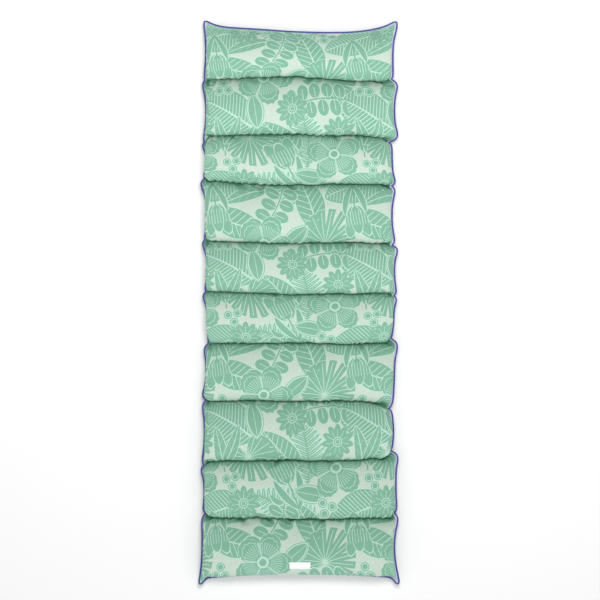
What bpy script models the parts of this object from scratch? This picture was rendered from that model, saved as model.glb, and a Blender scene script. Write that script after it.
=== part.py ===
"""Sun lounger cushion: one cloth cover sewn across into ten filled channels, with an
overlocked edge all round and a small plain label near the foot.

Metres, +Z up. X runs across the cushion and +Y towards its head. It lies on its back,
and the origin is under its middle, on the surface that it lies on."""

import math

import bmesh
import bpy
from mathutils import Vector
from mathutils.bvhtree import BVHTree

MM = 0.001

# Driving sizes
LENGTH = 1868 * MM  # corner tip to corner tip
CROWN = 82 * MM  # a full channel's height above the surface
SEAM_HEIGHT = 24 * MM  # where a cross seam holds the two cloths together
EDGE_HEIGHT = 34 * MM  # the side seam, halfway along a channel
NECK = 5 * MM  # the cloths and their seam allowance at a cross seam
LIP_WIDTH = 6 * MM  # the flat lip of cloth outside the filling
LIP_THICKNESS = 3 * MM
EDGING_WIDTH = 5 * MM
EDGING_THICKNESS = 4.4 * MM
GAP = 0.3 * MM  # between pieces that touch
TRIM = EDGING_WIDTH + GAP  # from the lip's outer edge to the cushion's
OVERHANG = 6.5 * MM  # how far a channel rolls over the seam on its foot side
FOOT_OVERHANG = LIP_WIDTH + TRIM  # the last one rolls over its lip and edging
HEAD_TIP = 20 * MM  # how far the head corners are drawn out
FOOT_TIP = 22 * MM
TIP_POWER = 10
SIDE_POWER = 6  # how full a channel stays towards its sides
FLAT_POWER = 9  # how wide a channel's flat underside is
PRESS = 1.12  # how firmly the underside is pressed flat
LATE_RISE = 0.36  # how much lower the last channel lies just past its head seam
LABEL_WIDTH = 69 * MM
LABEL_LENGTH = 23 * MM
LABEL_THICKNESS = 0.8 * MM
LABEL_LIFT = 0.6 * MM
LABEL_CELL = 3.9 * MM
LABEL_FROM_HEAD = 1798 * MM
LABEL_ACROSS = 3 * MM  # how far right of the middle it lies

# Lines across the cushion as they show from above, in mm from the head's corner tips.
# The first is the head edge, the last the foot edge, and the others are where one
# channel rolls over the next.
LINE_PLACES = (-0.95, -0.51, 0.0, 0.53, 0.97)  # left to right, in half widths
LINES = (
    # left, left middle, middle, right middle, right
    (20, 26, 36, 37, 22),
    (200, 192, 189, 202, 205),
    (384, 382, 381, 383, 390),
    (531, 543, 546, 543, 544),
    (734, 736, 738, 737, 742),
    (899, 903, 907, 906, 903),
    (1071, 1068, 1067, 1071, 1069),
    (1262, 1256, 1258, 1259, 1266),
    (1459, 1454, 1456, 1453, 1447),
    (1645, 1643, 1648, 1646, 1647),
    (1847, 1837, 1834, 1836, 1846),
)

# Each channel from head to foot: its height as a share of CROWN, and for each side how
# far the edging reaches from the middle, in mm, at the ear by its head seam, halfway,
# and at the ear by its foot seam. Bulge is how far, in mm, the filling pushes the cloth
# out there: about 22 hides the edging from above.
CHANNELS = (
    # height, left: head ear, middle, foot ear, bulge, right: the same
    (0.95, 315, 310, 315, 13, 328, 315, 315, 10),
    (1.00, 320, 309, 317, 15, 329, 320, 329, 9),
    (0.95, 320, 309, 316, 21, 310, 313, 322, 12),
    (1.00, 326, 307, 313, 22, 321, 312, 320, 11),
    (0.97, 320, 305, 312, 21, 329, 320, 326, 9),
    (0.94, 319, 304, 302, 22, 326, 318, 312, 13),
    (1.00, 314, 309, 320, 18, 329, 320, 313, 10),
    (1.01, 320, 314, 321, 15, 310, 317, 312, 12),
    (1.00, 325, 315, 318, 15, 329, 325, 327, 9),
    (0.97, 322, 322, 330, 13, 331, 320, 333, 10),
)

# How far the edging reaches at each cross seam, in mm: the seam draws it in.
SEAM_REACH_LEFT = (313, 315, 314, 314, 310, 302, 308, 316, 310)
SEAM_REACH_RIGHT = (309, 299, 309, 310, 317, 307, 300, 303, 320)
# How far past its crease the outer end of each cross seam lies, towards the foot, in mm
SEAM_TIPS_LEFT = (0, 22, -6, -6, 0, 0, -6, 14, -14)
SEAM_TIPS_RIGHT = (-8, 14, 3, 3, 8, -16, 18, -24, -16)
TIP_SPAN = 0.07  # the share of the half width over which a seam turns to its tip
EAR = 0.07  # how far from a seam its ears stand, as a share of the channel
HEAD_CORNER = 1  # how far the corners reach past the ears beside them, in mm
FOOT_CORNER = 3

# A channel's outline seen from the side. Cloth is the share of the cover from the head
# seam to the foot seam, along the share of the way, roll the share of the overhang
# added to that, and up and down the shares of the height.
TOP_PROFILE = (
    # cloth, along, roll, up
    (0.00, 0.000, 0.0, 0.00),
    (0.07, 0.058, 0.0, 0.13),
    (0.16, 0.135, 0.0, 0.41),
    (0.29, 0.272, 0.0, 0.77),
    (0.44, 0.455, 0.0, 0.96),
    (0.58, 0.625, 0.1, 1.00),
    (0.72, 0.790, 0.3, 0.93),
    (0.84, 0.920, 0.6, 0.74),
    (0.92, 0.985, 1.0, 0.48),
    (0.97, 1.000, 0.9, 0.22),
    (1.00, 1.000, 0.0, 0.00),
)
BASE_PROFILE = (
    # cloth, along, roll, down
    (0.00, 0.000, 0.0, 0.00),
    (0.07, 0.050, 0.0, 0.52),
    (0.16, 0.140, 0.0, 0.86),
    (0.29, 0.280, 0.0, 1.00),
    (0.44, 0.440, 0.0, 1.00),
    (0.58, 0.580, 0.0, 1.00),
    (0.72, 0.720, 0.0, 1.00),
    (0.84, 0.845, 0.0, 0.90),
    (0.92, 0.935, 0.0, 0.62),
    (0.97, 0.985, 0.0, 0.26),
    (1.00, 1.000, 0.0, 0.00),
)

# Where the columns stand, in half widths from the middle to the lip's root
HALF_COLUMNS = (0.0, 0.22, 0.42, 0.58, 0.72, 0.83, 0.91, 0.965, 1.0)
COLUMNS = tuple(-c for c in reversed(HALF_COLUMNS[1:])) + HALF_COLUMNS

# Half of the edging's section, from its inner side out
EDGING_SECTION = (
    # out, as a share of its width; high, as a share of half its thickness
    (0.00, 0.80),
    (0.45, 1.00),
    (1.00, 0.45),
)
SHARPEST_MITRE = 0.5  # the least cosine of half an edging's turn

COVER_GREEN = (0.33, 0.61, 0.47, 1.0)
EDGING_VIOLET = (0.10, 0.08, 0.33, 1.0)
LABEL_WHITE = (0.86, 0.86, 0.82, 1.0)


def clear_scene():
    for found in list(bpy.data.objects):
        bpy.data.objects.remove(found)


def smooth_between(places, values, at):
    """A smooth curve through the values (a Catmull-Rom spline), level past the ends."""
    last = len(places) - 1
    at = min(max(at, places[0]), places[-1])
    i = max(n for n in range(last) if places[n] <= at)

    def slope(n):
        before, after = max(n - 1, 0), min(n + 1, last)
        return (values[after] - values[before]) / (places[after] - places[before])

    span = places[i + 1] - places[i]
    f = (at - places[i]) / span
    return (
        values[i] * (1 + 2 * f) * (1 - f) ** 2
        + slope(i) * span * f * (1 - f) ** 2
        + values[i + 1] * f * f * (3 - 2 * f)
        + slope(i + 1) * span * f * f * (f - 1)
    )


def fullness(across):
    """The channel's height at a place across, as a share of its middle height."""
    return math.sqrt(max(0.0, 1 - abs(across) ** SIDE_POWER))


def seam_from_head(line, across):
    """How far from the head a seam truly lies. The outermost two are the lip's roots, and
    the others lie back under the channel that rolls over them."""
    place = smooth_between(LINE_PLACES, LINES[line], across) * MM
    if line == 0:
        return place - HEAD_TIP * abs(across) ** TIP_POWER + LIP_WIDTH + TRIM
    if line == len(CHANNELS):
        return place + FOOT_TIP * abs(across) ** TIP_POWER - LIP_WIDTH - TRIM
    tips = SEAM_TIPS_LEFT if across < 0 else SEAM_TIPS_RIGHT
    turned = max(0.0, (abs(across) - 1 + TIP_SPAN) / TIP_SPAN) ** 2
    return place - OVERHANG * fullness(across) + tips[line - 1] * MM * turned


def side_reach(channel, cloth, right):
    """How far the edging's outer edge stands from the middle, along a channel's side."""
    row = CHANNELS[channel]
    head_ear, middle, foot_ear = row[5:8] if right else row[1:4]
    seams = SEAM_REACH_RIGHT if right else SEAM_REACH_LEFT
    at_head = seams[channel - 1] if channel > 0 else head_ear + HEAD_CORNER
    at_foot = seams[channel] if channel < len(seams) else foot_ear + FOOT_CORNER
    near_head = (head_ear + 3 * middle) / 4
    near_foot = (foot_ear + 3 * middle) / 4
    places = (0.0, EAR, 0.3, 0.5, 0.7, 1 - EAR, 1.0)
    reaches = (at_head, head_ear, near_head, middle, near_foot, foot_ear, at_foot)
    return smooth_between(places, reaches, cloth) * MM


def rows():
    """Every row of the cover from head to foot, as its channel and share of the cloth."""
    shares = [row[0] for row in TOP_PROFILE]
    found = [(0, 0.0)]
    for channel in range(len(CHANNELS)):
        found += [(channel, share) for share in shares[1:]]
    return found


def cover_point(channel, cloth, across, top):
    """A point of the cover's upper or under cloth, inside the lip."""
    cloths, alongs, rolls, swells = zip(*(TOP_PROFILE if top else BASE_PROFILE))
    along = smooth_between(cloths, alongs, cloth)
    roll = smooth_between(cloths, rolls, cloth)
    swell = smooth_between(cloths, swells, cloth)
    if top:
        late = LATE_RISE * channel / (len(CHANNELS) - 1)
        swell *= 1 - late * max(0.0, 1 - 2 * cloth) ** 2
    full = fullness(across)

    head = seam_from_head(channel, across)
    foot = seam_from_head(channel + 1, across)
    overhang = FOOT_OVERHANG if channel == len(CHANNELS) - 1 else OVERHANG
    from_head = head + (foot - head) * (cloth + (along - cloth) * full)
    from_head += overhang * roll * full

    right = across > 0
    row = CHANNELS[channel]
    root = side_reach(channel, cloth, right) - LIP_WIDTH - TRIM
    bulge = (row[8] if right else row[4]) * MM * swell if top else 0.0
    x = root * across + math.copysign(4 * full * (1 - full) * bulge, across)

    edge = SEAM_HEIGHT + (EDGE_HEIGHT - SEAM_HEIGHT) * math.sin(math.pi * cloth)
    middle = SEAM_HEIGHT + (edge - SEAM_HEIGHT) * across**4
    layer = NECK + (LIP_THICKNESS - NECK) * abs(across) ** 4
    if top:
        low = middle + layer / 2
        z = low + (CROWN * row[0] - SEAM_HEIGHT - NECK / 2) * swell * full
    else:
        flat = math.sqrt(max(0.0, 1 - abs(across) ** FLAT_POWER))
        z = (middle - layer / 2) * max(0.0, 1 - PRESS * swell * flat)
    return Vector((x, LENGTH / 2 - from_head, z))


def ring(channel, cloth):
    """One closed loop round the cover: the upper cloth left to right, then back under."""
    upper = [cover_point(channel, cloth, c, True) for c in COLUMNS]
    under = [cover_point(channel, cloth, c, False) for c in COLUMNS]
    lip = Vector((LIP_WIDTH, 0, 0))
    upper = [upper[0] - lip, *upper, upper[-1] + lip]
    under = [under[0] - lip, *under, under[-1] + lip]
    return upper + under[::-1]


def end_lip(inner, towards_head):
    """The lip past the first or last ring, drawn out in line with the cushion."""
    out = LIP_WIDTH if towards_head else -LIP_WIDTH
    half = len(inner) // 2
    middle = [(inner[i] + inner[-1 - i]) / 2 for i in range(half)]
    lift = Vector((0, 0, LIP_THICKNESS / 2))
    outer = [point + Vector((0, out, 0)) for point in middle]
    return [p + lift for p in outer] + [p - lift for p in outer[::-1]]


def loft(rings, closed):
    """A mesh of quads through loops of points, capped at its ends if it isn't closed."""
    made = bmesh.new()
    loops = [[made.verts.new(point) for point in points] for points in rings]
    count = len(loops[0])
    pairs = list(zip(loops, loops[1:]))
    if closed:
        pairs.append((loops[-1], loops[0]))
    for first, second in pairs:
        for i in range(count):
            j = (i + 1) % count
            made.faces.new((first[i], first[j], second[j], second[i]))
    if not closed:
        for end in (loops[0], loops[-1]):
            for i in range(count // 2 - 1):
                made.faces.new((end[i], end[i + 1], end[-2 - i], end[-1 - i]))
    bmesh.ops.triangulate(made, faces=made.faces)
    bmesh.ops.recalc_face_normals(made, faces=made.faces)
    return made


def cloth_material(name, colour, roughness):
    material = bpy.data.materials.new(name)
    material.use_nodes = True
    shader = material.node_tree.nodes["Principled BSDF"]
    shader.inputs["Base Color"].default_value = colour
    shader.inputs["Roughness"].default_value = roughness
    shader.inputs["Metallic"].default_value = 0.0
    return material


def add_object(name, made, material, smooth_angle):
    mesh = bpy.data.meshes.new(name)
    made.to_mesh(mesh)
    made.free()
    mesh.materials.append(material)
    mesh.shade_smooth()
    mesh.set_sharp_from_angle(angle=smooth_angle)
    found = bpy.data.objects.new(name, mesh)
    bpy.context.scene.collection.objects.link(found)
    return found


def cover_rings():
    inner = [ring(channel, cloth) for channel, cloth in rows()]
    return [end_lip(inner[0], True), *inner, end_lip(inner[-1], False)]


def perimeter(rings):
    """The middle line of the lip's outer edge, once round from the head's left corner."""
    half = len(rings[0]) // 2
    middle = [[(r[i] + r[-1 - i]) / 2 for i in range(half)] for r in rings]
    head = middle[0]
    right = [m[-1] for m in middle[1:-1]]
    foot = middle[-1][::-1]
    left = [m[0] for m in middle[-2:0:-1]]
    return head + right + foot + left


def edging_rings(edge):
    """The overlocked edge: six-sided loops just outside the lip, turned with its path."""
    section = EDGING_SECTION + tuple((out, -high) for out, high in EDGING_SECTION[::-1])
    half = Vector((0, 0, EDGING_THICKNESS / 2))
    rings = []
    for i, point in enumerate(edge):
        before = (point - edge[i - 1]).to_2d().normalized()
        after = (edge[(i + 1) % len(edge)] - point).to_2d().normalized()
        out_after = Vector((-after.y, after.x))
        mitre = (Vector((-before.y, before.x)) + out_after).normalized()
        mitre /= max(SHARPEST_MITRE, mitre.dot(out_after))
        outward = Vector((mitre.x, mitre.y, 0))
        inner = point + outward * GAP
        rings.append([inner + outward * EDGING_WIDTH * out + half * high for out, high in section])
    return rings


def label_rings(cover_tree):
    """The label: a thin patch that follows the top of the last channel."""
    cells_wide = round(LABEL_WIDTH / LABEL_CELL)
    cells_long = round(LABEL_LENGTH / LABEL_CELL)
    middle_y = LENGTH / 2 - LABEL_FROM_HEAD
    down = Vector((0, 0, -1))
    rings = []
    for row in range(cells_long + 1):
        y = middle_y + LABEL_LENGTH * (0.5 - row / cells_long)
        low, high = [], []
        for column in range(cells_wide + 1):
            x = LABEL_ACROSS + LABEL_WIDTH * (column / cells_wide - 0.5)
            place, normal, *_ = cover_tree.ray_cast(Vector((x, y, 0)) - down, down)
            low.append(place + normal * LABEL_LIFT)
            high.append(place + normal * (LABEL_LIFT + LABEL_THICKNESS))
        rings.append(high + low[::-1])
    return rings


def centred(rings_of_pieces):
    """Every piece moved so that their shared box has its middle over the origin."""
    points = [p for rings in rings_of_pieces for points in rings for p in points]
    middle = Vector(
        (
            (min(p.x for p in points) + max(p.x for p in points)) / 2,
            (min(p.y for p in points) + max(p.y for p in points)) / 2,
            0,
        )
    )
    return [[[p - middle for p in points] for points in rings] for rings in rings_of_pieces]


def main():
    clear_scene()
    cover = cover_rings()
    edging = edging_rings(perimeter(cover))
    cover, edging = centred([cover, edging])

    cover_made = loft(cover, closed=False)
    tree = BVHTree.FromBMesh(cover_made)
    label_made = loft(label_rings(tree), closed=False)
    edging_made = loft(edging, closed=True)

    add_object(
        "cushion", cover_made, cloth_material("cover", COVER_GREEN, 0.9), math.radians(60)
    )
    add_object(
        "edging", edging_made, cloth_material("edging", EDGING_VIOLET, 0.8), math.radians(70)
    )
    add_object(
        "label", label_made, cloth_material("label", LABEL_WHITE, 0.8), math.radians(40)
    )


main()
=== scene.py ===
"""Looks of a sun lounger cushion: a printed cloth cover, filled and sewn across into
ten channels, with an overlocked edge and a bare label. It lies on its back.

The cover repeats the frame's own sizes at a finer pitch. Cloth simulation then settles
it, and its folds, threads and print are added. Metres; +Y is the cushion's head."""

import math

import bpy
import numpy as np
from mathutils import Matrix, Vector
from mathutils.bvhtree import BVHTree


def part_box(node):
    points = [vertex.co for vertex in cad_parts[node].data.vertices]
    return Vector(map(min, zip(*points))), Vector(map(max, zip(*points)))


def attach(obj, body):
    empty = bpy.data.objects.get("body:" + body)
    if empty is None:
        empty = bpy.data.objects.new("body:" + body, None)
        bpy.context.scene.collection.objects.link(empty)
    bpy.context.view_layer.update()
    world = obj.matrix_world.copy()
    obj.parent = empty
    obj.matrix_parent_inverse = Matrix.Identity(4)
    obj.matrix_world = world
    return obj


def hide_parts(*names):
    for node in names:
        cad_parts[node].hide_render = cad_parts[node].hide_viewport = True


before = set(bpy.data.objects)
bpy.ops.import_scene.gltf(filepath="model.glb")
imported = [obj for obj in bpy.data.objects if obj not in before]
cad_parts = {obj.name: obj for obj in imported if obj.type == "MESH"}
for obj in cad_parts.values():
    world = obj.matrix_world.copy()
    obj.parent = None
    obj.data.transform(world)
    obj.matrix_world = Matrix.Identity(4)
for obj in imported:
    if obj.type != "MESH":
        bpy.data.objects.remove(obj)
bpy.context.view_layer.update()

MM = 0.001

# The frame's sizes, as its solids have them
LENGTH = 1868 * MM
CROWN = 82 * MM
SEAM_HEIGHT = 24 * MM
EDGE_HEIGHT = 34 * MM
NECK = 5 * MM
LIP_WIDTH = 6 * MM
LIP_THICKNESS = 3 * MM
EDGING_WIDTH = 5 * MM
EDGING_THICKNESS = 4.4 * MM
GAP = 0.3 * MM
TRIM = EDGING_WIDTH + GAP
OVERHANG = 6.5 * MM
FOOT_OVERHANG = LIP_WIDTH + TRIM
HEAD_TIP = 20 * MM
FOOT_TIP = 22 * MM
TIP_POWER = 10
SIDE_POWER = 6
FLAT_POWER = 9
PRESS = 1.12
LABEL_WIDTH = 69 * MM

# Lines across the cushion, in mm from its head's corner tips: the head edge, the creases
# between channels, and the foot edge
LINE_PLACES = (-0.95, -0.51, 0.0, 0.53, 0.97)  # left to right, in half widths
LINES = (
    # left, left middle, middle, right middle, right
    (20, 26, 36, 37, 22),
    (200, 192, 189, 202, 205),
    (384, 382, 381, 383, 390),
    (531, 543, 546, 543, 544),
    (734, 736, 738, 737, 742),
    (899, 903, 907, 906, 903),
    (1071, 1068, 1067, 1071, 1069),
    (1262, 1256, 1258, 1259, 1266),
    (1459, 1454, 1456, 1453, 1447),
    (1645, 1643, 1648, 1646, 1647),
    (1847, 1837, 1834, 1836, 1846),
)

# Each channel's height as a share of CROWN, and for each side the edging's reach from the
# middle at its head ear, halfway and at its foot ear, and its bulge, all in mm
CHANNELS = (
    # height, left: head ear, middle, foot ear, bulge, right: the same
    (0.95, 315, 310, 315, 13, 328, 315, 315, 10),
    (1.00, 320, 309, 317, 15, 329, 320, 329, 9),
    (0.95, 320, 309, 316, 21, 310, 313, 322, 12),
    (1.00, 326, 307, 313, 22, 321, 312, 320, 11),
    (0.97, 320, 305, 312, 21, 329, 320, 326, 9),
    (0.94, 319, 304, 302, 22, 326, 318, 312, 13),
    (1.00, 314, 309, 320, 18, 329, 320, 313, 10),
    (1.01, 320, 314, 321, 15, 310, 317, 312, 12),
    (1.00, 325, 315, 318, 15, 329, 325, 327, 9),
    (0.97, 322, 322, 330, 13, 331, 320, 333, 10),
)
SEAM_REACH_LEFT = (313, 315, 314, 314, 310, 302, 308, 316, 310)
SEAM_REACH_RIGHT = (309, 299, 309, 310, 317, 307, 300, 303, 320)
EAR = 0.07
# How far the ends of the sewing lie past the creases' ends, towards the foot, in mm
SEAM_TIPS_LEFT = (0, 22, -6, -6, 0, 0, -6, 14, -14)
SEAM_TIPS_RIGHT = (-8, 14, 3, 3, 8, -16, 18, -24, -16)
BULGE_SHAPE = 4  # scales the bulge to 1 where it is greatest
TIP_SPAN = 0.07  # how much of the half width the ends run over
HEAD_CORNER = 1
FOOT_CORNER = 3

TOP_PROFILE = (
    # cloth, along, roll, up
    (0.00, 0.000, 0.0, 0.00),
    (0.07, 0.058, 0.0, 0.13),
    (0.16, 0.135, 0.0, 0.41),
    (0.29, 0.272, 0.0, 0.77),
    (0.44, 0.455, 0.0, 0.96),
    (0.58, 0.625, 0.1, 1.00),
    (0.72, 0.790, 0.3, 0.93),
    (0.84, 0.920, 0.6, 0.74),
    (0.92, 0.985, 1.0, 0.48),
    (0.97, 1.000, 0.9, 0.22),
    (1.00, 1.000, 0.0, 0.00),
)
BASE_PROFILE = (
    # cloth, along, roll, down
    (0.00, 0.000, 0.0, 0.00),
    (0.07, 0.050, 0.0, 0.52),
    (0.16, 0.140, 0.0, 0.86),
    (0.29, 0.280, 0.0, 1.00),
    (0.44, 0.440, 0.0, 1.00),
    (0.58, 0.580, 0.0, 1.00),
    (0.72, 0.720, 0.0, 1.00),
    (0.84, 0.845, 0.0, 0.90),
    (0.92, 0.935, 0.0, 0.62),
    (0.97, 0.985, 0.0, 0.26),
    (1.00, 1.000, 0.0, 0.00),
)
LATE_RISE = 0.36  # how much lower the last channel lies just past its head seam
COUNT = len(CHANNELS)

# How finely the cover is drawn
ROWS_A_CHANNEL = 23
HALF_TOP_COLUMNS = 32
SIDE_CROWDING = 1.35  # how much closer its columns stand towards the sides
SEAM_CROWDING = 0.45  # how much closer its rows stand towards the seams, from 0 to 1
CHANNEL_CLOTH = 215 * MM  # the cloth that each channel takes up
UNDER_SHIFT = 0.17  # how far the under cloth's print lies from the upper's, in metres

# How uneven the sewing and the filling are
SEAM_WANDER = 1.7 * MM
ROLL_WANDER = 2.6 * MM
LUMPS = ((2.6 * MM, 0.105), (1.5 * MM, 0.048))  # height, and pitch in metres


def smooth_between(places, values, at):
    """A smooth curve through the values (a Catmull-Rom spline), level past the ends."""
    places, values = np.asarray(places, float), np.asarray(values, float)
    after = np.minimum(np.arange(len(places)) + 1, len(places) - 1)
    before = np.maximum(np.arange(len(places)) - 1, 0)
    slopes = (values[after] - values[before]) / (places[after] - places[before])
    at = np.clip(at, places[0], places[-1])
    i = np.clip(np.searchsorted(places, at, side="right") - 1, 0, len(places) - 2)
    span = places[i + 1] - places[i]
    f = (at - places[i]) / span
    return (
        values[i] * (1 + 2 * f) * (1 - f) ** 2
        + slopes[i] * span * f * (1 - f) ** 2
        + values[i + 1] * f * f * (3 - 2 * f)
        + slopes[i + 1] * span * f * f * (f - 1)
    )


def soft_noise(x, y, seed):
    """Smooth noise from -1 to 1, with lumps one unit apart."""
    table = np.random.default_rng(seed).uniform(-1, 1, (97, 97))
    x, y = np.broadcast_arrays(np.asarray(x, float), np.asarray(y, float))
    i, j = np.floor(x).astype(int), np.floor(y).astype(int)
    fx, fy = x - i, y - j
    fx, fy = fx * fx * (3 - 2 * fx), fy * fy * (3 - 2 * fy)
    near = table[i % 97, j % 97] * (1 - fx) + table[(i + 1) % 97, j % 97] * fx
    far = table[i % 97, (j + 1) % 97] * (1 - fx) + table[(i + 1) % 97, (j + 1) % 97] * fx
    return near * (1 - fy) + far * fy


def fullness(across):
    return np.sqrt(np.maximum(0.0, 1 - np.abs(across) ** SIDE_POWER))


def seams_from_head(across):
    """Where the eleven lines of sewing lie at each place across, from the head."""
    seams = np.array([smooth_between(LINE_PLACES, line, across) for line in LINES]) * MM
    tip = np.abs(across) ** TIP_POWER
    seams[0] += LIP_WIDTH + TRIM - HEAD_TIP * tip
    seams[1:-1] -= OVERHANG * fullness(across)
    tip = np.clip((np.abs(across) - 1 + TIP_SPAN) / TIP_SPAN, 0, 1) ** 2
    left, right = (np.array(tips)[:, None] * MM for tips in (SEAM_TIPS_LEFT, SEAM_TIPS_RIGHT))
    seams[1:-1] += np.where(across < 0, left, right) * tip
    wander = soft_noise(across[None] * 7.5, np.arange(COUNT - 1)[:, None] * 3.0, seed=11)
    seams[1:-1] += SEAM_WANDER * wander * (1 - across**6)
    seams[-1] += FOOT_TIP * tip - LIP_WIDTH - TRIM
    return seams


def side_reach(channel, cloth, right):
    """How far the edging reaches from the middle, along one side of one channel."""
    row = CHANNELS[channel]
    head_ear, middle, foot_ear = row[5:8] if right else row[1:4]
    seams = SEAM_REACH_RIGHT if right else SEAM_REACH_LEFT
    at_head = seams[channel - 1] if channel > 0 else head_ear + HEAD_CORNER
    at_foot = seams[channel] if channel < len(seams) else foot_ear + FOOT_CORNER
    near_head = (head_ear + 3 * middle) / 4
    near_foot = (foot_ear + 3 * middle) / 4
    places = (0.0, EAR, 0.3, 0.5, 0.7, 1 - EAR, 1.0)
    reaches = (at_head, head_ear, near_head, middle, near_foot, foot_ear, at_foot)
    return smooth_between(places, reaches, cloth) * MM


def channel_surface(channel, cloth, across, top):
    """One channel's upper or under cloth, as a grid of points: a row for each share of
    cloth, and a column for each place across."""
    cloths, alongs, rolls, swells = zip(*(TOP_PROFILE if top else BASE_PROFILE))
    along = smooth_between(cloths, alongs, cloth)[:, None]
    roll = smooth_between(cloths, rolls, cloth)[:, None]
    swell = smooth_between(cloths, swells, cloth)[:, None]
    cloth = cloth[:, None]
    if top:
        swell = swell * (1 - LATE_RISE * channel / (COUNT - 1) * np.maximum(0, 1 - 2 * cloth) ** 2)
    full = fullness(across)
    seams = seams_from_head(across)
    head, foot = seams[channel], seams[channel + 1]
    overhang = FOOT_OVERHANG if channel == COUNT - 1 else OVERHANG
    if top and channel < COUNT - 1:
        overhang = overhang + ROLL_WANDER * soft_noise(across * 9, channel * 2.7, seed=12)
    from_head = head + (foot - head) * (cloth + (along - cloth) * full)
    from_head = from_head + overhang * roll * full

    row = CHANNELS[channel]
    right = across > 0
    reach = np.where(right, side_reach(channel, cloth, True), side_reach(channel, cloth, False))
    bulge = np.where(right, row[8], row[4]) * MM * (swell if top else 0.0)
    x = (reach - LIP_WIDTH - TRIM) * across
    x = x + np.sign(across) * BULGE_SHAPE * full * (1 - full) * bulge

    edge = SEAM_HEIGHT + (EDGE_HEIGHT - SEAM_HEIGHT) * np.sin(np.pi * cloth)
    middle = SEAM_HEIGHT + (edge - SEAM_HEIGHT) * across**4
    layer = NECK + (LIP_THICKNESS - NECK) * across**4
    if top:
        z = middle + layer / 2 + (CROWN * row[0] - SEAM_HEIGHT - NECK / 2) * swell * full
    else:
        flat = np.sqrt(np.maximum(0.0, 1 - np.abs(across) ** FLAT_POWER))
        z = (middle - layer / 2) * np.maximum(0.0, 1 - PRESS * swell * flat)
    return np.stack(np.broadcast_arrays(x, LENGTH / 2 - from_head, z), axis=-1)


def row_shares():
    """The shares of a channel's cloth at which its rows lie, after its head seam."""
    even = np.arange(1, ROWS_A_CHANNEL + 1) / ROWS_A_CHANNEL
    return even - SEAM_CROWDING * np.sin(math.tau * even) / math.tau


def column_places():
    """Where the top's columns lie, from -1 to 1."""
    even = np.arange(HALF_TOP_COLUMNS + 1) / HALF_TOP_COLUMNS
    half = 1 - (1 - even) ** SIDE_CROWDING
    return np.concatenate([-half[:0:-1], half])


def sheet_grid(across, top):
    """The whole upper or under cloth inside its lip, head row first."""
    shares = row_shares()
    first = channel_surface(0, np.array([0.0]), across, top)
    rest = [channel_surface(c, shares, across, top) for c in range(COUNT)]
    return np.concatenate([first, *rest])


def grid_shares():
    """For each ring of the cover, its channel and its share of the channel's cloth."""
    shares = np.concatenate([[0.0, 0.0], np.tile(row_shares(), COUNT), [1.0]])
    channels = np.concatenate([[0, 0], np.repeat(np.arange(COUNT), ROWS_A_CHANNEL), [COUNT - 1]])
    return channels, shares


def filling_lumps(across):
    """How unevenly the loose filling lifts the upper cloth inside its lip."""
    channels, shares = (found[1:-1, None] for found in grid_shares())
    along = (channels + shares) * CHANNEL_CLOTH
    wide = across[None, :] * SEAM_REACH_RIGHT[0] * MM
    lift = sum(
        height * soft_noise(wide / pitch, along / pitch, seed=int(1000 * pitch))
        for height, pitch in LUMPS
    )
    return lift * np.sin(np.pi * shares) * (1 - np.abs(across[None, :]) ** 4)


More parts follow.
